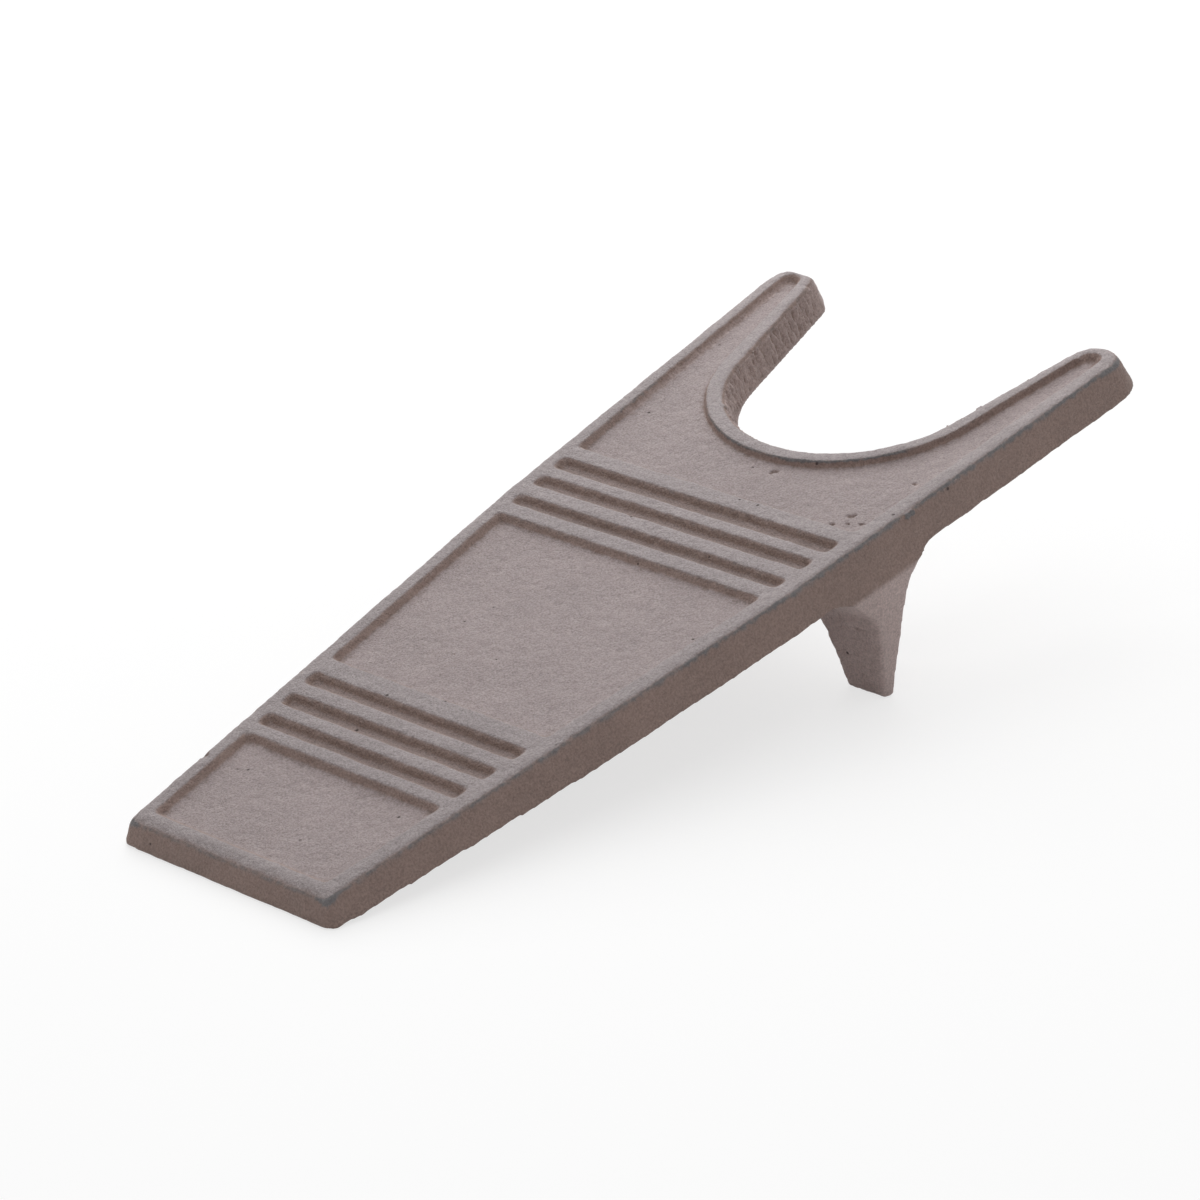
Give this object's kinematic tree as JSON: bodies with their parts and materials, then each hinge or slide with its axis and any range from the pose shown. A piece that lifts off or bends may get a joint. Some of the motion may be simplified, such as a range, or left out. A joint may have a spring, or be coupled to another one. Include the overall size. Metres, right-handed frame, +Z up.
{
  "type": "boot jack",
  "caption": "Forked cast-iron boot jack: a ribbed tread plate with a heel notch, tilted on two short legs.",
  "frame": {"origin": "on the floor, under the middle of the standing part's bounding box", "axes": "+X along the tread, from the tail edge to the fork's tips; +Y to the left; +Z up"},
  "size_m": [0.238, 0.1054, 0.0571],
  "materials": {
    "iron": "sand-cast brown iron, dull, with lighter worn edges"
  },
  "bodies": {
    "root": {"tail_plate": "iron", "fork_plate": "iron", "left_prong": "iron", "right_prong": "iron", "tail_rim": "iron", "left_rim": "iron", "right_rim": "iron", "cradle_rim": "iron", "left_leg": "iron", "right_leg": "iron", "lower_rib_1": "iron", "lower_rib_2": "iron", "lower_rib_3": "iron", "lower_rib_4": "iron", "upper_rib_1": "iron", "upper_rib_2": "iron", "upper_rib_3": "iron", "upper_rib_4": "iron"}
  },
  "joints": []
}
